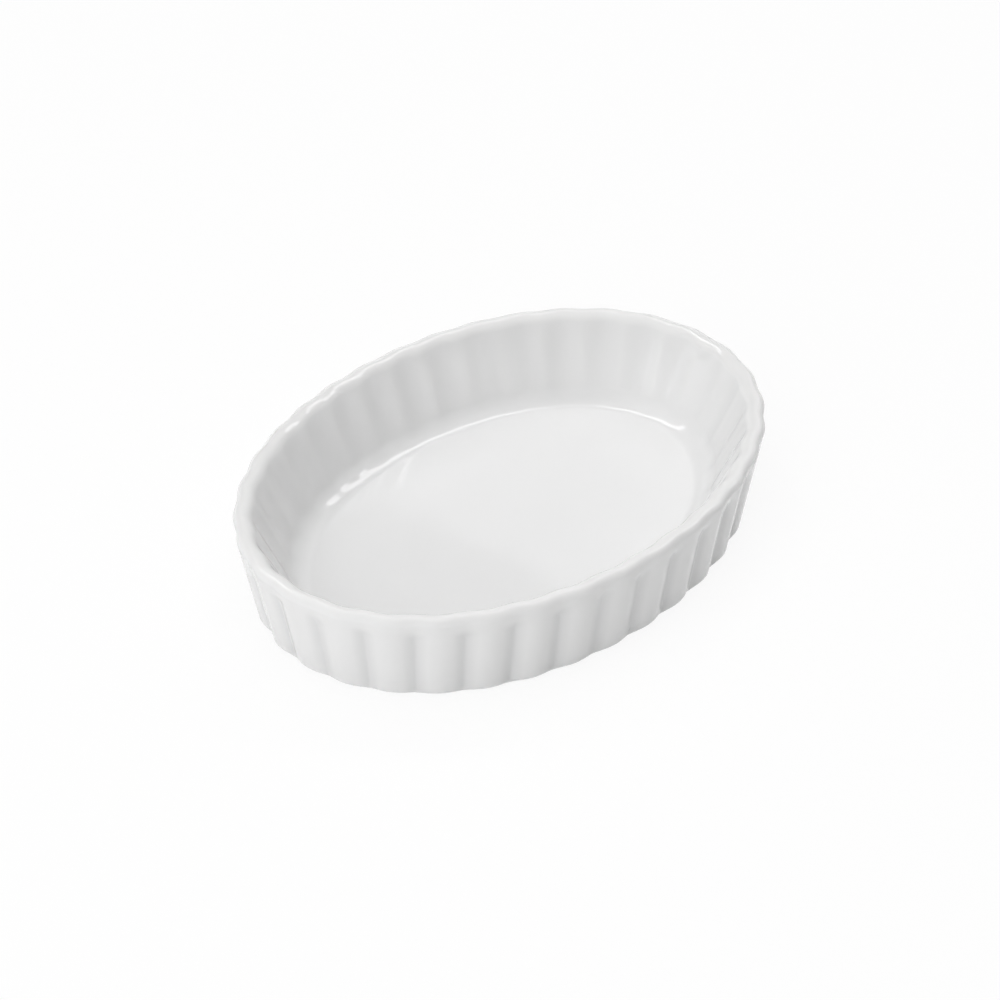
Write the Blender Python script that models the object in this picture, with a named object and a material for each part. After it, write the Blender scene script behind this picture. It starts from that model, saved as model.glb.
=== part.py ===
"""Oval creme brulee dish of glazed porcelain, fluted inside and outside.

The fired body carries everything and stands on a bare foot ring. One glaze coat runs from
that ring up the outside, over the rim and across the floor, and a second one lines the
recess inside the ring. The dish stands on z = 0 with its long axis along X, in metres.

Every surface comes from one section through the wall. A station of the section has a
distance in from the outline of the rim, a height, the direction that its surface faces,
and the depth and softness of the flutes there.
"""
import math
from collections import namedtuple

import bmesh
import bpy
import numpy as np

MM = 0.001

# Outline and height
LENGTH = 152.0 * MM
WIDTH = 109.3 * MM
HEIGHT = 25.6 * MM
OVAL_EXPONENT = 2.05  # 2 is an ellipse, and more than 2 fills out its shoulders

# Section through the wall, measured on the glazed surface
RIM_OUTER_RADIUS = 1.7 * MM  # from the crest of the rim to the outer wall
RIM_INNER_RADIUS = 3.3 * MM  # from the crest of the rim to the inner wall
OUTER_DRAFT = math.radians(9.6)  # lean of the outer wall from upright, at the sides
INNER_DRAFT = math.radians(25.0)  # lean of the inner wall from upright, at the sides
END_LEAN = 0.9 * MM  # how much further in the foot of the two ends lies than that of the sides
CORNER_RADIUS = 1.8 * MM  # bottom edge of the outer wall
FILLET_RADIUS = 7.0 * MM  # sweep from the inner wall to the floor
FLOOR_THICKNESS = 3.8 * MM

# Foot ring and the recess inside it
FOOT_HEIGHT = 0.5 * MM  # of the glazed underside outside the ring
FOOT_INSET = 3.2 * MM  # from the foot of the outer wall to the ring
FOOT_WIDTH = 2.6 * MM
FOOT_BEVEL = 0.4 * MM
RECESS_DEPTH = 1.2 * MM

# Flutes
FLUTE_COUNT = 34
OUTER_DEPTH = 1.3 * MM
INNER_DEPTH = 0.9 * MM
INNER_FOOT_DEPTH = 0.2 * MM  # what the inner flutes fade to at the dish's foot
RIM_WAVE = 0.5 * MM  # what is left of the flutes in the rim
OUTER_BAND = 3.5 * MM  # smooth band below the rim, outside
INNER_BAND = 1.0 * MM  # smooth band below the rim, inside
ARCH_LENGTH = 3.0 * MM  # over which a flute grows from the band to its full depth
OUTER_VALLEY = 0.12  # softness of the valley in a full flute outside
INNER_RIDGE = 0.6  # softness of the ridge that this valley makes inside
SOFT_VALLEY = 1.5  # softness of the rim's wave

# Glaze, and the clearance that parts it from the body
GLAZE_THICKNESS = 0.35 * MM
GLAZE_CLEARANCE = 0.3 * MM

# Colour and roughness of the materials
BISQUE = ((0.80, 0.77, 0.72), 0.75)
WHITE_GLAZE = ((0.86, 0.86, 0.86), 0.08)
RECESS_GLAZE = ((0.85, 0.85, 0.84), 0.12)

# Fineness of the solids
POINTS_IN_FLUTE = (0.0, 0.2, 0.5, 0.8)  # shares of a flute's width, from its valley
CORNER_STEPS = 2
RIM_STEPS = 3  # on each side of the crest
FILLET_STEPS = 5
OUTLINE_SAMPLES = 7200
SHARP_EDGE = math.radians(40.0)  # edges sharper than this are shaded as edges

# Directions that a surface faces in the section, where 0 is towards the middle of the dish
UP = math.radians(90.0)
OUTWARD = math.radians(180.0)
DOWN = math.radians(270.0)

Station = namedtuple("Station", "inset height facing depth softness")
Side = namedtuple("Side", "band depth foot_depth softness")  # how the flutes of one side grow
OUTSIDE = Side(OUTER_BAND, OUTER_DEPTH, OUTER_DEPTH, OUTER_VALLEY)
INSIDE = Side(INNER_BAND, INNER_DEPTH, INNER_FOOT_DEPTH, INNER_RIDGE)


def clear_scene():
    """Start from an empty scene."""
    for thing in list(bpy.data.objects):
        bpy.data.objects.remove(thing, do_unlink=True)


def ceramic_material(name, colour, roughness):
    """A plain ceramic material."""
    material = bpy.data.materials.new(name)
    material.use_nodes = True
    shader = material.node_tree.nodes["Principled BSDF"]
    shader.inputs["Base Color"].default_value = (*colour, 1.0)
    shader.inputs["Roughness"].default_value = roughness
    shader.inputs["Metallic"].default_value = 0.0
    return material


def signed_power(values, power):
    """Raise the size of each value to a power and keep its sign."""
    return np.sign(values) * np.abs(values) ** power


def wall_foot_inset():
    """Distance in from the rim's outline to the foot of the outer wall."""
    top = HEIGHT - RIM_OUTER_RADIUS * (1.0 + math.sin(OUTER_DRAFT))
    top_inset = RIM_OUTER_RADIUS * (1.0 - math.cos(OUTER_DRAFT))
    return top_inset + (top - FOOT_HEIGHT) * math.tan(OUTER_DRAFT)


def oval(angles):
    """Points of the rim's outline and their outward normals."""
    x = 0.5 * LENGTH * signed_power(np.cos(angles), 2.0 / OVAL_EXPONENT)
    y = 0.5 * WIDTH * signed_power(np.sin(angles), 2.0 / OVAL_EXPONENT)
    slope_x = signed_power(2.0 * x / LENGTH, OVAL_EXPONENT - 1.0) / LENGTH
    slope_y = signed_power(2.0 * y / WIDTH, OVAL_EXPONENT - 1.0) / WIDTH
    steepness = np.hypot(slope_x, slope_y)
    return x, y, slope_x / steepness, slope_y / steepness


def outline():
    """The points of the rim's outline that the solids use, with their turn in flutes.

    The flutes are equally wide along the foot of the wall. A crest lies on the long axis.
    """
    angles = np.linspace(0.0, 2.0 * math.pi, OUTLINE_SAMPLES + 1)
    x, y, normal_x, normal_y = oval(angles)
    foot_x = x - wall_foot_inset() * normal_x
    foot_y = y - wall_foot_inset() * normal_y
    travelled = np.concatenate(([0.0], np.cumsum(np.hypot(np.diff(foot_x), np.diff(foot_y)))))
    turns = np.array([flute + share for flute in range(FLUTE_COUNT) for share in POINTS_IN_FLUTE])
    places = (turns + 0.5) / FLUTE_COUNT * travelled[-1] % travelled[-1]
    return *oval(np.interp(places, travelled, angles)), turns


def smooth_step(share):
    """Ease from 0 to 1."""
    share = min(max(share, 0.0), 1.0)
    return share * share * (3.0 - 2.0 * share)


def flute_shape(drop, side):
    """Depth and softness of the flutes at a drop below the rim's crest."""
    growth = smooth_step((drop - side.band) / ARCH_LENGTH)
    full_depth = side.depth + (side.foot_depth - side.depth) * drop / HEIGHT
    depth = RIM_WAVE + (full_depth - RIM_WAVE) * growth
    softness = SOFT_VALLEY + (side.softness - SOFT_VALLEY) * growth
    return depth, softness


def flute_dip(turns, softness):
    """How far each place dips below the crests: 0 on a crest and 1 in a valley."""
    crest = math.hypot(1.0, softness) - softness
    return 1.0 - (np.hypot(np.sin(math.pi * turns), softness) - softness) / crest


def station(place, facing, side, fade=1.0):
    """One station at an inset and a height, with the flutes that belong to its height."""
    inset, height = place
    depth, softness = flute_shape(HEIGHT - height, side)
    return Station(inset, height, facing, depth * fade, softness)


def on_circle(centre, radius, facing):
    """The point of a circle in the section that faces a direction."""
    return centre[0] + radius * math.cos(facing), centre[1] + radius * math.sin(facing)


def touching_circle(radius, first_point, first_facing, second_point, second_facing):
    """Centre of a circle that touches two straight stretches from the side that they face.

    A negative radius puts the circle behind them.
    """
    normals = np.array([(math.cos(f), math.sin(f)) for f in (first_facing, second_facing)])
    reach = radius + np.array((normals[0] @ first_point, normals[1] @ second_point))
    return np.linalg.solve(normals, reach)


def arc(centre, radius, start, end, steps, side, fading=True):
    """Stations along a rounded stretch. A negative radius makes a hollow one.

    The flutes fade where the surface turns flat, except over the rim.
    """
    stations = []
    for facing in np.linspace(start, end, steps + 1):
        fade = abs(math.cos(facing)) if fading else 1.0
        stations.append(station(on_circle(centre, radius, facing), facing, side, fade))
    return stations


def along_wall(wall_start, draft, facing, drops, side):
    """Stations on a straight wall, at heights given by their drops below the rim's crest."""
    stations = []
    for drop in drops:
        height = HEIGHT - drop
        inset = wall_start[0] + (wall_start[1] - height) * math.tan(draft)
        stations.append(station((inset, height), facing, side))
    return stations


def glazed_section():
    """The glazed surface from the foot ring up the outside, over the rim and down to the floor."""
    outer_facing = OUTWARD + OUTER_DRAFT
    rim_outer = (RIM_OUTER_RADIUS, HEIGHT - RIM_OUTER_RADIUS)
    rim_inner = (RIM_OUTER_RADIUS, HEIGHT - RIM_INNER_RADIUS)
    outer_start = on_circle(rim_outer, RIM_OUTER_RADIUS, outer_facing)
    inner_start = on_circle(rim_inner, RIM_INNER_RADIUS, INNER_DRAFT)
    ring = (wall_foot_inset() + FOOT_INSET - GLAZE_CLEARANCE, FOOT_HEIGHT)
    floor = (0.0, RECESS_DEPTH + FLOOR_THICKNESS)
    corner = touching_circle(-CORNER_RADIUS, outer_start, outer_facing, ring, DOWN)
    fillet = touching_circle(FILLET_RADIUS, inner_start, INNER_DRAFT, floor, UP)
    outer_drops = (OUTER_BAND + ARCH_LENGTH, OUTER_BAND)
    inner_drops = (INNER_BAND + ARCH_LENGTH,)
    return [
        plain(*ring),
        *arc(corner, CORNER_RADIUS, DOWN, outer_facing, CORNER_STEPS, OUTSIDE),
        *along_wall(outer_start, OUTER_DRAFT, outer_facing, outer_drops, OUTSIDE),
        *arc(rim_outer, RIM_OUTER_RADIUS, outer_facing, UP, RIM_STEPS, OUTSIDE, fading=False),
        *arc(rim_inner, RIM_INNER_RADIUS, UP, INNER_DRAFT, RIM_STEPS, INSIDE, fading=False)[1:],
        *along_wall(inner_start, INNER_DRAFT, INNER_DRAFT, inner_drops, INSIDE),
        *arc(fillet, -FILLET_RADIUS, INNER_DRAFT, UP, FILLET_STEPS, INSIDE),
    ]


def sunk(stations, distance):
    """The same section at a distance below its surface."""
    moved = []
    for place in stations:
        inset = place.inset - distance * math.cos(place.facing)
        height = place.height - distance * math.sin(place.facing)
        moved.append(place._replace(inset=inset, height=height))
    return moved


def plain(inset, height):
    """A station without flutes."""
    return Station(inset, height, DOWN, 0.0, SOFT_VALLEY)


def loft(name, stations, material, collection, parent):
    """Skin the stations all round the oval and close both ends of the stack with a flat face."""
    x, y, normal_x, normal_y, turns = outline()
    rim_start = HEIGHT - RIM_OUTER_RADIUS
    mesh = bpy.data.meshes.new(name)
    form = bmesh.new()
    rings = []
    for place in stations:
        end_shift = END_LEAN * max(0.0, 1.0 - place.height / rim_start) * normal_x**2
        inset = place.inset + place.depth * flute_dip(turns, place.softness) + end_shift
        ring_x = x - inset * normal_x
        ring_y = y - inset * normal_y
        rings.append([form.verts.new((px, py, place.height)) for px, py in zip(ring_x, ring_y)])
    for lower, upper in zip(rings, rings[1:]):
        for point in range(len(turns)):
            following = (point + 1) % len(turns)
            form.faces.new((lower[point], lower[following], upper[following], upper[point]))
    form.faces.new(rings[0])
    form.faces.new(rings[-1])
    bmesh.ops.recalc_face_normals(form, faces=form.faces)
    form.to_mesh(mesh)
    form.free()
    mesh.materials.append(material)
    mesh.shade_smooth()
    mesh.set_sharp_from_angle(angle=SHARP_EDGE)
    piece = bpy.data.objects.new(name, mesh)
    collection.objects.link(piece)
    piece.parent = parent
    return piece


def body_stations():
    """The fired body: the glazed section less the glaze, then the foot ring and the recess."""
    covered = sunk(glazed_section()[1:], GLAZE_THICKNESS + GLAZE_CLEARANCE)
    ring_outside = wall_foot_inset() + FOOT_INSET
    ring_inside = ring_outside + FOOT_WIDTH
    ledge = FOOT_HEIGHT + GLAZE_THICKNESS + GLAZE_CLEARANCE
    ceiling = RECESS_DEPTH + GLAZE_THICKNESS + GLAZE_CLEARANCE
    foot = [
        plain(ring_inside, ceiling),
        plain(ring_inside, FOOT_BEVEL),
        plain(ring_inside - FOOT_BEVEL, 0.0),
        plain(ring_outside + FOOT_BEVEL, 0.0),
        plain(ring_outside, FOOT_BEVEL),
        plain(ring_outside, ledge),
    ]
    return foot + covered


def coat_stations():
    """The main glaze coat: its underside from the floor to the foot ring, then its surface."""
    surface = glazed_section()
    return list(reversed(sunk(surface, GLAZE_THICKNESS))) + surface


def patch_stations():
    """The glaze patch that lines the recess inside the foot ring."""
    edge = wall_foot_inset() + FOOT_INSET + FOOT_WIDTH + GLAZE_CLEARANCE
    return [plain(edge, RECESS_DEPTH), plain(edge, RECESS_DEPTH + GLAZE_THICKNESS)]


def build():
    """Make the dish in a collection of its own."""
    clear_scene()
    collection = bpy.data.collections.new("creme_brulee_dish")
    bpy.context.scene.collection.children.link(collection)
    holder = bpy.data.objects.new("creme_brulee_dish_origin", None)
    collection.objects.link(holder)

    bisque = ceramic_material("bisque_porcelain", *BISQUE)
    white_glaze = ceramic_material("white_glaze", *WHITE_GLAZE)
    recess_glaze = ceramic_material("recess_glaze", *RECESS_GLAZE)
    loft("porcelain_body", body_stations(), bisque, collection, holder)
    loft("glaze_coat", coat_stations(), white_glaze, collection, holder)
    loft("underside_glaze", patch_stations(), recess_glaze, collection, holder)


build()
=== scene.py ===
"""Looks of the oval creme brulee dish: fine glazed surfaces, a bare foot and a plain white studio.

Each of the three solids is replaced by a fine mesh of the same section through the wall, with
rounded edges of glaze, a faint unevenness from the mould and the kiln, and a fired finish.
"""
import math
from collections import namedtuple

import bmesh
import bpy
import numpy as np
from mathutils import Matrix, Vector


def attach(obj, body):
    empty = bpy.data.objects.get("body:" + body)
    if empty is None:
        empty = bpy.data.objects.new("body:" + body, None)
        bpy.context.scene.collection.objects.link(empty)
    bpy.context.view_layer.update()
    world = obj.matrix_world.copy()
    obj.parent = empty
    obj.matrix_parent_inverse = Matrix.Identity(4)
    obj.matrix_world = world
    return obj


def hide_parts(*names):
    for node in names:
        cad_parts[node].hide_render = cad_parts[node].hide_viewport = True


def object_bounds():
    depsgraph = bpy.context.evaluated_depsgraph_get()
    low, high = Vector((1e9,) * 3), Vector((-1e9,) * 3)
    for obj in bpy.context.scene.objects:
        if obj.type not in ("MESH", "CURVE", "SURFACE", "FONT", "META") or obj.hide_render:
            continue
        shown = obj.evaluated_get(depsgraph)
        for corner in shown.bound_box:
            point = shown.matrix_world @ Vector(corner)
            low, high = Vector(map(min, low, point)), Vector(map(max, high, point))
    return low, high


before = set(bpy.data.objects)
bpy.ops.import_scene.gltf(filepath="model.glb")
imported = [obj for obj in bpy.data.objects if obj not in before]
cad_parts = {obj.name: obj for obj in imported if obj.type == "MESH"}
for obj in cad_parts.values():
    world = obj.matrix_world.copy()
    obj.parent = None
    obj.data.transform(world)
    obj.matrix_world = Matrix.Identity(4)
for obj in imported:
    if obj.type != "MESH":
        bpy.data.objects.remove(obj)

CAD_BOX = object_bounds()
MM = 0.001

# Outline and height, as in the solids
LENGTH = 152.0 * MM
WIDTH = 109.3 * MM
HEIGHT = 25.6 * MM
OVAL_EXPONENT = 2.05

# Section through the wall, as in the solids
RIM_OUTER_RADIUS = 1.7 * MM
RIM_INNER_RADIUS = 3.3 * MM
OUTER_DRAFT = math.radians(9.6)
INNER_DRAFT = math.radians(25.0)
END_LEAN = 0.9 * MM
CORNER_RADIUS = 1.8 * MM
FILLET_RADIUS = 7.0 * MM
FLOOR_THICKNESS = 3.8 * MM
FOOT_HEIGHT = 0.5 * MM
FOOT_INSET = 3.2 * MM
FOOT_WIDTH = 2.6 * MM
FOOT_BEVEL = 0.4 * MM
RECESS_DEPTH = 1.2 * MM
GLAZE_THICKNESS = 0.35 * MM

# Flutes, as in the solids
FLUTE_COUNT = 34
FIRST_VALLEY = 0.5  # in flutes from the long axis, so that a crest lies on it
OUTER_DEPTH = 1.3 * MM
INNER_DEPTH = 0.9 * MM
INNER_FOOT_DEPTH = 0.2 * MM  # what the inner flutes fade to at the dish's foot
RIM_WAVE = 0.5 * MM
OUTER_BAND = 3.5 * MM
INNER_BAND = 1.0 * MM
ARCH_LENGTH = 3.0 * MM
OUTER_VALLEY = 0.12
INNER_RIDGE = 0.6
SOFT_VALLEY = 1.5

# Edges of the glaze
HIDDEN_GAP = 0.02 * MM  # between the body and the glaze that lies on it
MENISCUS_RADIUS = 0.5 * MM  # where the glaze in the recess climbs the foot ring

# Fineness of the meshes
POINTS_IN_FLUTE = 16
VALLEY_CROWDING = 0.6  # how much closer the points lie in a valley than on average
CORNER_STEPS = 8
OUTER_ROWS = 16
RIM_STEPS = 12
INNER_ROWS = 10
FILLET_STEPS = 20
FLOOR_RINGS = 10
EDGE_STEPS = 5
OUTLINE_SAMPLES = 7200
SHARP_EDGE = math.radians(50.0)

# Unevenness from the mould and the kiln
DEPTH_VARIATION = 0.06  # share by which the flutes grow deeper and shallower round the dish
DEPTH_WAVES = ((5, 0.7, 1.0), (11, 1.9, 0.6))  # waves round the dish, phase and share
RIM_SAG = 0.12 * MM
SAG_PHASE = 0.8
FLOOR_DOME = 0.06 * MM

Pattern = namedtuple("Pattern", "size detail")  # of a noise texture
NOISE_RANGE = (0.3, 0.7)  # where most values of a noise texture lie

# Finish of the glaze
GLAZE_REFRACTION = 1.5
GLAZE_WHITE = (0.848, 0.848, 0.847)
GLAZE_CLOUDED = (0.838, 0.838, 0.838)
GLAZE_DEEP_AND_SHADE = (0.749, 0.751, 0.752)  # where it gathers in the outer valleys, darkened further there as painted shade
GLAZE_THIN = (0.864, 0.862, 0.858)  # where it runs off the rim
DEEP_POOL_AND_SHADE = (0.3, 1.0)  # values of the pool attribute over which the glaze grows deep and painted shade darkens the outer valleys
THIN_POOL = (-0.2, -1.0)
GLAZE_ROUGHNESS = (0.03, 0.07)
GLAZE_CLOUD = Pattern(22.0 * MM, 2.0)
GLAZE_SMEAR = Pattern(9.0 * MM, 4.0)
GLAZE_RIPPLE = Pattern(14.0 * MM, 1.0)
GLAZE_PEEL = Pattern(2.6 * MM, 1.0)  # the fine unevenness on top of the broad ripple
OUTER_RIPPLE_HEIGHT = 0.03 * MM
RECESS_RIPPLE_HEIGHT = 0.05 * MM
PEEL_SHARE = 0.12  # of the ripple's height

# Finish of the bare foot
BISQUE_WHITE = (0.80, 0.775, 0.735)
BISQUE_CLOUDED = (0.75, 0.72, 0.67)
BISQUE_RUBBED = (0.62, 0.60, 0.57)
BISQUE_ROUGHNESS = (0.62, 0.85)
BISQUE_CLOUD = Pattern(7.0 * MM, 3.0)
BISQUE_CLOUD_RANGE = (0.35, 0.7)
BISQUE_GRAIN = Pattern(0.25 * MM, 3.0)
GRAIN_HEIGHT = 0.03 * MM
RUBBED_HEIGHT = 0.15 * MM  # up to which the foot is rubbed
RUBBED_SHARE = 0.35

# Directions that a surface faces in the section, where 0 is towards the middle of the dish
INWARD = 0.0
UP = math.radians(90.0)
OUTWARD = math.radians(180.0)
DOWN = math.radians(270.0)

Station = namedtuple("Station", "inset height facing depth softness")  # one place in the section
Side = namedtuple("Side", "band depth foot_depth softness")  # how the flutes of one side grow
OUTSIDE = Side(OUTER_BAND, OUTER_DEPTH, OUTER_DEPTH, OUTER_VALLEY)
INSIDE = Side(INNER_BAND, INNER_DEPTH, INNER_FOOT_DEPTH, INNER_RIDGE)

# Camera, fitted to the photograph's outline
CAMERA_AZIMUTH = math.radians(-49.06)
CAMERA_ELEVATION = math.radians(36.0)
CAMERA_DISTANCE = 836.0 * MM
CAMERA_ROLL = math.radians(0.227)
PICTURE_SIZE = 1000.0
FOCAL_PIXELS = 3355.0
ORIGIN_PIXEL = (504.9, 537.6)  # where the dish's origin lies in the picture
SENSOR_WIDTH = 36.0  # in millimetres

# Softboxes round the dish. Azimuth 0 is the camera's, 180 is behind the dish and below 0 is on the left.
Softbox = namedtuple("Softbox", "azimuth elevation width height power mirrored")
SOFTBOX_DISTANCE = 1.3
SOFTBOXES = {
    "strip_behind": Softbox(180.0, 57.0, 2.6, 0.2, 6.2, True),
    "top": Softbox(0.0, 88.0, 1.2, 1.2, 5.4, False),
    "front_left": Softbox(-30.0, 32.0, 1.2, 1.2, 8.2, False),
    "upper_left": Softbox(-45.0, 62.0, 1.2, 1.2, 3.2, False),
    "back_right": Softbox(150.0, 32.0, 1.2, 1.2, 1.6, False),
}
WORLD_LIGHT = 0.1
WORLD_COLOUR = (1.0, 1.0, 1.0, 1.0)

STUDIO_REACH = 3.0  # from the dish to the low wall on three sides
LOW_WALL_HEIGHT = 0.8
BACKDROP_PLACE = 2.5  # along the dish's length, on the side away from the camera
BACKDROP_HEIGHT = 2.46  # its top edge shows in the glossy floor of the dish
STUDIO_COLOUR = (0.95, 0.95, 0.95, 1.0)
STUDIO_WHITE_SHARE = 0.9  # how much of the studio's look is plain white, and the rest is lit


def signed_power(values, power):
    """Raise the size of each value to a power and keep its sign."""
    return np.sign(values) * np.abs(values) ** power


def smooth_step(share):
    """Ease from 0 to 1."""
    share = min(max(share, 0.0), 1.0)
    return share * share * (3.0 - 2.0 * share)


def wall_foot_inset():
    """Distance in from the rim's outline to the foot of the outer wall."""
    top = HEIGHT - RIM_OUTER_RADIUS * (1.0 + math.sin(OUTER_DRAFT))
    top_inset = RIM_OUTER_RADIUS * (1.0 - math.cos(OUTER_DRAFT))
    return top_inset + (top - FOOT_HEIGHT) * math.tan(OUTER_DRAFT)


def oval(angles):
    """Points of the rim's outline and their outward normals."""
    x = 0.5 * LENGTH * signed_power(np.cos(angles), 2.0 / OVAL_EXPONENT)
    y = 0.5 * WIDTH * signed_power(np.sin(angles), 2.0 / OVAL_EXPONENT)
    slope_x = signed_power(2.0 * x / LENGTH, OVAL_EXPONENT - 1.0) / LENGTH
    slope_y = signed_power(2.0 * y / WIDTH, OVAL_EXPONENT - 1.0) / WIDTH
    steepness = np.hypot(slope_x, slope_y)
    return x, y, slope_x / steepness, slope_y / steepness


def outline():
    """Points of the outline, crowded in the valleys, with their turn in flutes."""
    angles = np.linspace(0.0, 2.0 * math.pi, OUTLINE_SAMPLES + 1)
    x, y, normal_x, normal_y = oval(angles)
    foot_x = x - wall_foot_inset() * normal_x
    foot_y = y - wall_foot_inset() * normal_y
    travelled = np.concatenate(([0.0], np.cumsum(np.hypot(np.diff(foot_x), np.diff(foot_y)))))
    even = np.arange(FLUTE_COUNT * POINTS_IN_FLUTE) / POINTS_IN_FLUTE
    turns = even - VALLEY_CROWDING * np.sin(2.0 * math.pi * even) / (2.0 * math.pi)
    places = (turns + FIRST_VALLEY) / FLUTE_COUNT * travelled[-1] % travelled[-1]
    return *oval(np.interp(places, travelled, angles)), turns


def flute_shape(drop, side):
    """Depth and softness of the flutes at a drop below the rim's crest."""
    growth = smooth_step((drop - side.band) / ARCH_LENGTH)
    full_depth = side.depth + (side.foot_depth - side.depth) * drop / HEIGHT
    depth = RIM_WAVE + (full_depth - RIM_WAVE) * growth
    softness = SOFT_VALLEY + (side.softness - SOFT_VALLEY) * growth
    return depth, softness


def flute_dip(turns, softness):
    """How far each place dips below the crests: 0 on a crest and 1 in a valley."""
    crest = math.hypot(1.0, softness) - softness
    return 1.0 - (np.hypot(np.sin(math.pi * turns), softness) - softness) / crest


def station(place, facing, side, fade):
    """One station at an inset and a height, with the flutes that belong to its height."""
    inset, height = place
    depth, softness = flute_shape(HEIGHT - height, side)
    return Station(inset, height, facing, depth * fade, softness)


def on_circle(centre, radius, facing):
    """The point of a circle in the section that faces a direction."""
    return centre[0] + radius * math.cos(facing), centre[1] + radius * math.sin(facing)


def arc(centre, radius, start, end, steps, side, fading=True):
    """Stations along a rounded stretch. A negative radius makes a hollow one."""
    stations = []
    for facing in np.linspace(start, end, steps + 1):
        fade = abs(math.cos(facing)) if fading else 1.0
        stations.append(station(on_circle(centre, radius, facing), facing, side, fade))
    return stations


def straight(start, end, facing, rows, side):
    """Stations strictly between the two ends of a straight stretch."""
    fade = abs(math.cos(facing))
    places = np.linspace(start, end, rows + 2)[1:-1]
    return [station(place, facing, side, fade) for place in places]


def touching_circle(radius, first_point, first_facing, second_point, second_facing):
    """Centre of a circle that touches two straight stretches from the side that they face."""
    normals = np.array([(math.cos(f), math.sin(f)) for f in (first_facing, second_facing)])
    reach = radius + np.array((normals[0] @ first_point, normals[1] @ second_point))
    return np.linalg.solve(normals, reach)


def glazed_section():
    """The glazed surface from the bottom corner up the outside, over the rim and down to the floor."""
    outer_facing = OUTWARD + OUTER_DRAFT
    rim_outer = (RIM_OUTER_RADIUS, HEIGHT - RIM_OUTER_RADIUS)
    rim_inner = (RIM_OUTER_RADIUS, HEIGHT - RIM_INNER_RADIUS)
    outer_start = on_circle(rim_outer, RIM_OUTER_RADIUS, outer_facing)
    inner_start = on_circle(rim_inner, RIM_INNER_RADIUS, INNER_DRAFT)
    foot = (0.0, FOOT_HEIGHT)
    floor = (0.0, RECESS_DEPTH + FLOOR_THICKNESS)
    corner = touching_circle(-CORNER_RADIUS, outer_start, outer_facing, foot, DOWN)
    fillet = touching_circle(FILLET_RADIUS, inner_start, INNER_DRAFT, floor, UP)
    corner_top = on_circle(corner, CORNER_RADIUS, outer_facing)
    fillet_top = on_circle(fillet, -FILLET_RADIUS, INNER_DRAFT)
    return [
        *arc(corner, CORNER_RADIUS, DOWN, outer_facing, CORNER_STEPS, OUTSIDE),
        *straight(corner_top, outer_start, outer_facing, OUTER_ROWS, OUTSIDE),
        *arc(rim_outer, RIM_OUTER_RADIUS, outer_facing, UP, RIM_STEPS, OUTSIDE, fading=False),
        *arc(rim_inner, RIM_INNER_RADIUS, UP, INNER_DRAFT, RIM_STEPS, INSIDE, fading=False)[1:],
        *straight(inner_start, fillet_top, INNER_DRAFT, INNER_ROWS, INSIDE),
        *arc(fillet, -FILLET_RADIUS, INNER_DRAFT, UP, FILLET_STEPS, INSIDE),
    ]


def sunk(stations, distance):
    """The same section at a distance below its surface."""
    moved = []
    for place in stations:
        inset = place.inset - distance * math.cos(place.facing)
        height = place.height - distance * math.sin(place.facing)
        moved.append(place._replace(inset=inset, height=height))
    return moved


def plain(inset, height, facing=DOWN):
    """A station without flutes."""
    return Station(inset, height, facing, 0.0, SOFT_VALLEY)


def plain_arc(inset, height, radius, start, end):
    """Stations without flutes along a small rounding."""
    return [
        plain(inset + radius * math.cos(facing), height + radius * math.sin(facing), facing)
        for facing in np.linspace(start, end, EDGE_STEPS + 1)
    ]


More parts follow.
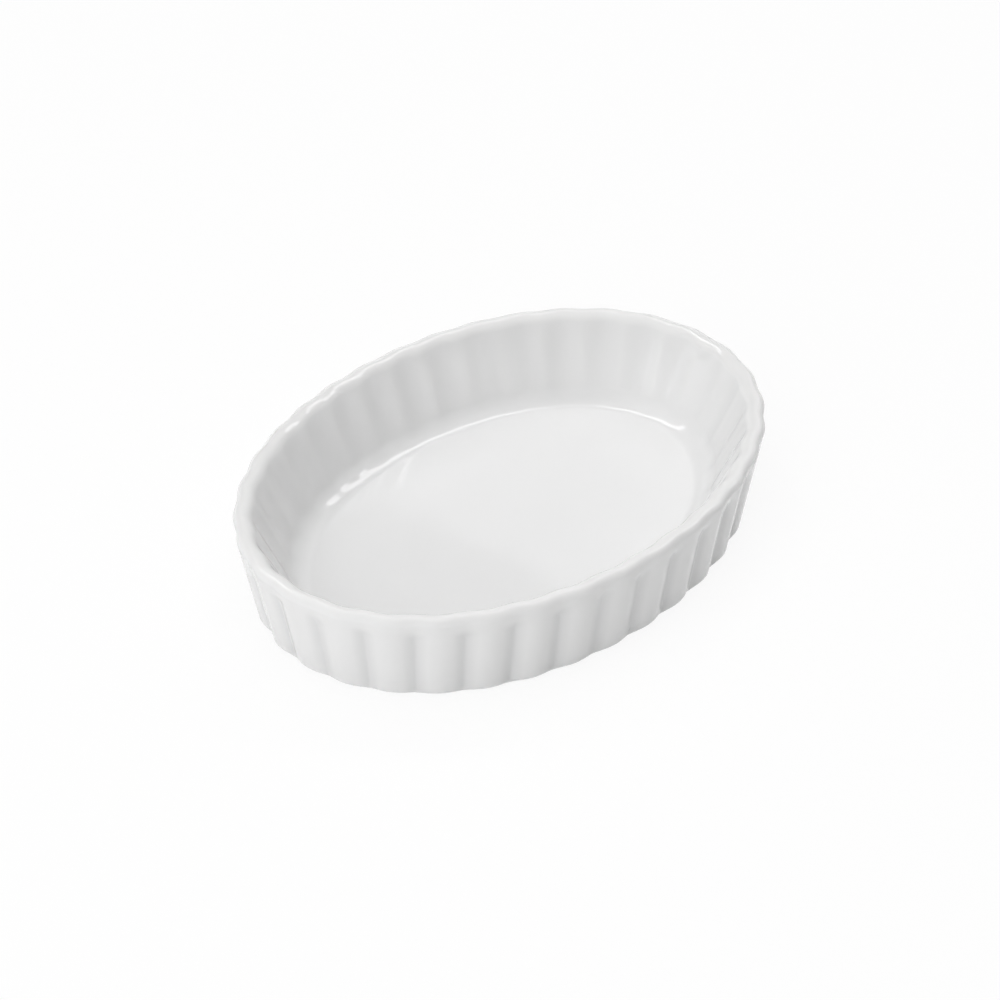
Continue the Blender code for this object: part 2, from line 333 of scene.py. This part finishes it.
class Surface:
    """Rings of points round the dish that are skinned into one closed piece."""

    def __init__(self):
        self.x, self.y, self.normal_x, self.normal_y, self.turns = outline()
        around = 2.0 * math.pi * self.turns / FLUTE_COUNT
        swing = sum(share * np.sin(waves * around + phase) for waves, phase, share in DEPTH_WAVES)
        self.depth_share = 1.0 + DEPTH_VARIATION * swing
        self.sag = RIM_SAG * (0.5 - 0.5 * np.cos(2.0 * around + SAG_PHASE))
        self.rings = []
        self.pools_and_shade = []

    def add(self, stations):
        """One ring for each station, and how much glaze gathers along it, which also sets the painted
        shade of the outer valleys.
        """
        rim_start = HEIGHT - RIM_OUTER_RADIUS
        for place in stations:
            lean = END_LEAN * max(0.0, 1.0 - place.height / rim_start)
            dip = flute_dip(self.turns, place.softness)
            inset = place.inset + place.depth * self.depth_share * dip + lean * self.normal_x**2
            height = place.height - self.sag * (place.height / HEIGHT) ** 2
            self.rings.append(np.column_stack((
                self.x - inset * self.normal_x, self.y - inset * self.normal_y, height)))
            on_rim = max(0.0, math.sin(place.facing)) * (place.height > rim_start)
            # Positive in the outer valleys, where deeper glaze and painted shade darken the colour;
            # negative on the rim and inner ridges, where the glaze is thin.
            self.pools_and_shade.append(-math.cos(place.facing) * dip * place.depth / OUTER_DEPTH - on_rim)

    def add_disc(self):
        """Rings that draw in a flat end towards the middle, raised by a slight dome."""
        edge = self.rings[-1]
        for share in np.linspace(1.0, 0.0, FLOOR_RINGS + 1)[1:-1]:
            ring = edge * (share, share, 1.0)
            ring[:, 2] += FLOOR_DOME * (1.0 - share * share)
            self.rings.append(ring)
            self.pools_and_shade.append(np.zeros(len(ring)))

    def skin(self, name):
        """The closed mesh of all rings, with a point in the middle of both ends."""
        points = np.concatenate(self.rings)
        first_middle = (0.0, 0.0, self.rings[0][:, 2].mean())
        last_middle = (0.0, 0.0, self.rings[-1][:, 2].mean())
        index = np.arange(len(points)).reshape(len(self.rings), -1)
        following = np.roll(index, -1, axis=1)
        quads = np.stack((index[:-1], following[:-1], following[1:], index[1:]), axis=-1)
        first_fan = [(len(points), b, a) for a, b in zip(index[0], following[0])]
        last_fan = [(len(points) + 1, a, b) for a, b in zip(index[-1], following[-1])]
        mesh = bpy.data.meshes.new(name)
        mesh.from_pydata(
            [*points.tolist(), first_middle, last_middle], [],
            [*quads.reshape(-1, 4).tolist(), *first_fan, *last_fan])
        pool_and_shade = mesh.attributes.new("pool_and_shade", "FLOAT", "POINT")
        pool_and_shade.data.foreach_set("value", np.concatenate((*self.pools_and_shade, (0.0, 0.0))).astype(np.float32))
        form = bmesh.new()
        form.from_mesh(mesh)
        bmesh.ops.recalc_face_normals(form, faces=form.faces)
        form.to_mesh(mesh)
        form.free()
        mesh.shade_smooth()
        mesh.set_sharp_from_angle(angle=SHARP_EDGE)
        return mesh


def glaze_coat_mesh():
    """The main glaze coat: its underside, its edge at the foot ring and its surface."""
    radius = 0.5 * GLAZE_THICKNESS
    edge_inset = wall_foot_inset() + FOOT_INSET - radius
    surface = Surface()
    surface.add(reversed(sunk(glazed_section(), GLAZE_THICKNESS)))
    surface.add(plain_arc(edge_inset, FOOT_HEIGHT + radius, radius, UP, -UP))
    surface.add(glazed_section())
    surface.add_disc()
    return surface.skin("glaze_surface")


def fired_body_mesh():
    """The fired body: the bare foot ring and the recess, and what the glaze covers."""
    ring_outside = wall_foot_inset() + FOOT_INSET
    ring_inside = ring_outside + FOOT_WIDTH
    covered = GLAZE_THICKNESS + HIDDEN_GAP
    surface = Surface()
    surface.add([plain(ring_inside, RECESS_DEPTH + covered)])
    surface.add(plain_arc(ring_inside - FOOT_BEVEL, FOOT_BEVEL, FOOT_BEVEL, INWARD, -UP))
    surface.add(plain_arc(ring_outside + FOOT_BEVEL, FOOT_BEVEL, FOOT_BEVEL, DOWN, OUTWARD))
    surface.add([plain(ring_outside, FOOT_HEIGHT + covered)])
    surface.add(sunk(glazed_section(), covered))
    return surface.skin("fired_surface")


def recess_glaze_mesh():
    """The glaze in the recess, which climbs the inside of the foot ring a little."""
    edge = wall_foot_inset() + FOOT_INSET + FOOT_WIDTH + HIDDEN_GAP
    climb = (edge + MENISCUS_RADIUS, RECESS_DEPTH - MENISCUS_RADIUS)
    surface = Surface()
    surface.add([plain(edge, RECESS_DEPTH + GLAZE_THICKNESS)])
    surface.add(plain_arc(*climb, MENISCUS_RADIUS, OUTWARD, UP))
    surface.add_disc()
    return surface.skin("recess_surface")


class Nodes:
    """Short calls to fill a material's node tree."""

    def __init__(self, name):
        self.material = bpy.data.materials.new(name)
        self.material.use_nodes = True
        self.tree = self.material.node_tree
        self.shader = self.tree.nodes["Principled BSDF"]
        self.place = self.add("ShaderNodeTexCoord").outputs["Object"]

    def add(self, kind, links=None, **values):
        """A node with its links and its sockets' or its own values."""
        node = self.tree.nodes.new(kind)
        for key, value in values.items():
            if key in node.inputs:
                node.inputs[key].default_value = value
            else:
                setattr(node, key, value)
        for socket, source in (links or {}).items():
            self.tree.links.new(source, node.inputs[socket])
        return node

    def noise(self, pattern):
        """Noise whose features are about the pattern's size across."""
        values = {"Scale": 1.0 / pattern.size, "Detail": pattern.detail}
        return self.add("ShaderNodeTexNoise", {"Vector": self.place}, **values).outputs["Fac"]

    def remap(self, source, old_range, new_range=(0.0, 1.0)):
        """A value brought from one range to another, and held there."""
        node = self.add("ShaderNodeMapRange", {"Value": source})
        ends = ("From Min", "From Max", "To Min", "To Max")
        for socket, value in zip(ends, (*old_range, *new_range)):
            node.inputs[socket].default_value = value
        return node.outputs["Result"]

    def blend(self, share, first, second):
        """A mix of two colours, each a socket or a plain colour."""
        node = self.add("ShaderNodeMix", {"Factor": share}, data_type="RGBA")
        sockets = [s for s in node.inputs if s.type == "RGBA"]
        for socket, colour in zip(sockets, (first, second)):
            if isinstance(colour, bpy.types.NodeSocket):
                self.tree.links.new(colour, socket)
            else:
                socket.default_value = (*colour, 1.0)
        return next(s for s in node.outputs if s.type == "RGBA")

    def bump(self, source, height, below=None):
        """A relief of a real height, on top of another one."""
        links = {"Height": source}
        if below is not None:
            links["Normal"] = below
        return self.add("ShaderNodeBump", links, Distance=height).outputs["Normal"]

    def finish(self, colour, roughness, normal):
        """Feed the shader."""
        self.tree.links.new(colour, self.shader.inputs["Base Color"])
        self.tree.links.new(roughness, self.shader.inputs["Roughness"])
        self.tree.links.new(normal, self.shader.inputs["Normal"])
        return self.material


def glaze_material(name, ripple_height):
    """Clear gloss over white porcelain, thin on the rim and deeper in the outer valleys, which also
    carry painted shade.
    """
    nodes = Nodes(name)
    nodes.shader.inputs["IOR"].default_value = GLAZE_REFRACTION
    pool_and_shade = nodes.add("ShaderNodeAttribute", attribute_name="pool_and_shade").outputs["Fac"]
    cloudy = nodes.remap(nodes.noise(GLAZE_CLOUD), NOISE_RANGE)
    colour = nodes.blend(cloudy, GLAZE_WHITE, GLAZE_CLOUDED)
    # Painted shade: the outer valleys are darkened more than deeper glaze alone would give.
    colour = nodes.blend(nodes.remap(pool_and_shade, DEEP_POOL_AND_SHADE), colour, GLAZE_DEEP_AND_SHADE)
    colour = nodes.blend(nodes.remap(pool_and_shade, THIN_POOL), colour, GLAZE_THIN)
    roughness = nodes.remap(nodes.noise(GLAZE_SMEAR), NOISE_RANGE, GLAZE_ROUGHNESS)
    broad = nodes.bump(nodes.noise(GLAZE_RIPPLE), ripple_height)
    fine = nodes.bump(nodes.noise(GLAZE_PEEL), PEEL_SHARE * ripple_height, broad)
    return nodes.finish(colour, roughness, fine)


def bisque_material():
    """Bare fired porcelain with a fine grain, rubbed where it stands."""
    nodes = Nodes("bisque_porcelain_fine")
    height = nodes.add("ShaderNodeSeparateXYZ", {"Vector": nodes.place}).outputs["Z"]
    rubbed = nodes.remap(height, (0.0, RUBBED_HEIGHT), (RUBBED_SHARE, 0.0))
    grain = nodes.noise(BISQUE_GRAIN)
    cloudy = nodes.remap(nodes.noise(BISQUE_CLOUD), BISQUE_CLOUD_RANGE)
    colour = nodes.blend(cloudy, BISQUE_WHITE, BISQUE_CLOUDED)
    colour = nodes.blend(rubbed, colour, BISQUE_RUBBED)
    roughness = nodes.remap(grain, NOISE_RANGE, BISQUE_ROUGHNESS)
    return nodes.finish(colour, roughness, nodes.bump(grain, GRAIN_HEIGHT))


def make_pieces():
    """The three pieces that stand for the solids."""
    glaze = glaze_material("white_glaze_fine", OUTER_RIPPLE_HEIGHT)
    recess = glaze_material("recess_glaze_fine", RECESS_RIPPLE_HEIGHT)
    pieces = [
        ("glaze_surface", glaze_coat_mesh(), "glaze_coat", glaze, "white_glaze"),
        ("fired_surface", fired_body_mesh(), "porcelain_body", bisque_material(), "bisque_porcelain"),
        ("recess_surface", recess_glaze_mesh(), "underside_glaze", recess, "recess_glaze"),
    ]
    points = np.array([tuple(vertex.co.xy) for vertex in pieces[0][1].vertices])
    ends = np.array(CAD_BOX)[:, :2] / (points.min(axis=0), points.max(axis=0))
    for name, mesh, node, material, slot in pieces:
        mesh.transform(Matrix.Diagonal((*ends.min(axis=0), 1.0, 1.0)))
        mesh.materials.append(material)
        piece = bpy.data.objects.new(name, mesh)
        bpy.context.scene.collection.objects.link(piece)
        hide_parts(node)
        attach(piece, "root")


def direction(azimuth, elevation):
    """Unit vector from the dish towards a place round it."""
    return Vector((
        math.sin(azimuth) * math.cos(elevation),
        -math.cos(azimuth) * math.cos(elevation),
        math.sin(elevation)))


def make_camera():
    """The camera at the photograph's place and angle."""
    eye = direction(CAMERA_AZIMUTH, CAMERA_ELEVATION) * CAMERA_DISTANCE
    forward = -eye.normalized()
    right = forward.cross(Vector((0.0, 0.0, 1.0))).normalized()
    up = right.cross(forward)
    shift_right = (0.5 * PICTURE_SIZE - ORIGIN_PIXEL[0]) / FOCAL_PIXELS
    shift_up = (ORIGIN_PIXEL[1] - 0.5 * PICTURE_SIZE) / FOCAL_PIXELS
    aim = forward + right * shift_right + up * shift_up
    data = bpy.data.cameras.new("camera")
    data.sensor_width = SENSOR_WIDTH
    data.lens = FOCAL_PIXELS / PICTURE_SIZE * SENSOR_WIDTH
    camera = bpy.data.objects.new("camera", data)
    bpy.context.scene.collection.objects.link(camera)
    turn = aim.to_track_quat("-Z", "Y").to_matrix() @ Matrix.Rotation(-CAMERA_ROLL, 3, "Z")
    camera.matrix_world = Matrix.Translation(eye) @ turn.to_4x4()
    bpy.context.scene.camera = camera


def make_lights():
    """Softboxes round the dish. The glaze mirrors the narrow strip, and not the broad ones."""
    for name, box in SOFTBOXES.items():
        azimuth = CAMERA_AZIMUTH + math.radians(box.azimuth)
        towards = direction(azimuth, math.radians(box.elevation))
        data = bpy.data.lights.new(name, "AREA")
        data.shape = "RECTANGLE"
        data.size = box.width
        data.size_y = box.height
        data.energy = box.power
        lamp = bpy.data.objects.new(name, data)
        bpy.context.scene.collection.objects.link(lamp)
        lamp.visible_glossy = box.mirrored
        lamp.location = towards * SOFTBOX_DISTANCE
        lamp.rotation_mode = "QUATERNION"
        lamp.rotation_quaternion = towards.to_track_quat("Z", "Y")


def seen_directly(tree):
    """A socket that is 1 for camera, glossy and transmission rays, and 0 for the others."""
    path = tree.nodes.new("ShaderNodeLightPath")
    found = path.outputs["Is Camera Ray"]
    for kind in ("Is Glossy Ray", "Is Transmission Ray"):
        larger = tree.nodes.new("ShaderNodeMath")
        larger.operation = "MAXIMUM"
        tree.links.new(found, larger.inputs[0])
        tree.links.new(path.outputs[kind], larger.inputs[1])
        found = larger.outputs[0]
    return found


def make_world():
    """Faint even light from all round."""
    world = bpy.data.worlds.new("studio")
    bpy.context.scene.world = world
    world.use_nodes = True
    light = world.node_tree.nodes["Background"]
    light.inputs["Strength"].default_value = WORLD_LIGHT
    light.inputs["Color"].default_value = WORLD_COLOUR


def studio_white():
    """Pale diffuse paint, most of it plain white where it is seen or mirrored."""
    material = bpy.data.materials.new("studio_white")
    material.use_nodes = True
    tree = material.node_tree
    tree.nodes.remove(tree.nodes["Principled BSDF"])
    lit = tree.nodes.new("ShaderNodeBsdfDiffuse")
    lit.inputs["Color"].default_value = STUDIO_COLOUR
    white = tree.nodes.new("ShaderNodeEmission")
    share = tree.nodes.new("ShaderNodeMath")
    share.operation = "MULTIPLY"
    share.inputs[1].default_value = STUDIO_WHITE_SHARE
    tree.links.new(seen_directly(tree), share.inputs[0])
    seen = tree.nodes.new("ShaderNodeMixShader")
    tree.links.new(share.outputs[0], seen.inputs["Fac"])
    tree.links.new(lit.outputs[0], seen.inputs[1])
    tree.links.new(white.outputs[0], seen.inputs[2])
    back = tree.nodes.new("ShaderNodeNewGeometry").outputs["Backfacing"]
    clear = tree.nodes.new("ShaderNodeBsdfTransparent")
    sided = tree.nodes.new("ShaderNodeMixShader")
    tree.links.new(back, sided.inputs["Fac"])
    tree.links.new(seen.outputs[0], sided.inputs[1])
    tree.links.new(clear.outputs[0], sided.inputs[2])
    tree.links.new(sided.outputs[0], tree.nodes["Material Output"].inputs["Surface"])
    return material


def make_studio():
    """A plain white floor that keeps the dish's shadow, a tall backdrop and a low wall round it."""
    near = -STUDIO_REACH
    corners = [
        (BACKDROP_PLACE, near, 0.0), (BACKDROP_PLACE, -near, 0.0), (near, -near, 0.0), (near, near, 0.0)]
    tall_tops = [(x, y, BACKDROP_HEIGHT) for x, y, _ in corners[:2]]
    low_tops = [(x, y, LOW_WALL_HEIGHT) for x, y, _ in corners]
    white = studio_white()
    parts = {
        "studio_floor": (corners, [(0, 1, 2, 3)]),
        "studio_backdrop": (corners[:2] + tall_tops, [(1, 0, 2, 3)]),
        "studio_low_wall": (corners + low_tops, [(2, 1, 5, 6), (3, 2, 6, 7), (0, 3, 7, 4)]),
    }
    for name, (points, faces) in parts.items():
        mesh = bpy.data.meshes.new(name)
        mesh.from_pydata(points, [], faces)
        mesh.materials.append(white)
        part = bpy.data.objects.new(name, mesh)
        bpy.context.scene.collection.objects.link(part)


make_camera()
make_lights()
make_world()
make_studio()
make_pieces()
bpy.context.scene.view_settings.view_transform = "Standard"
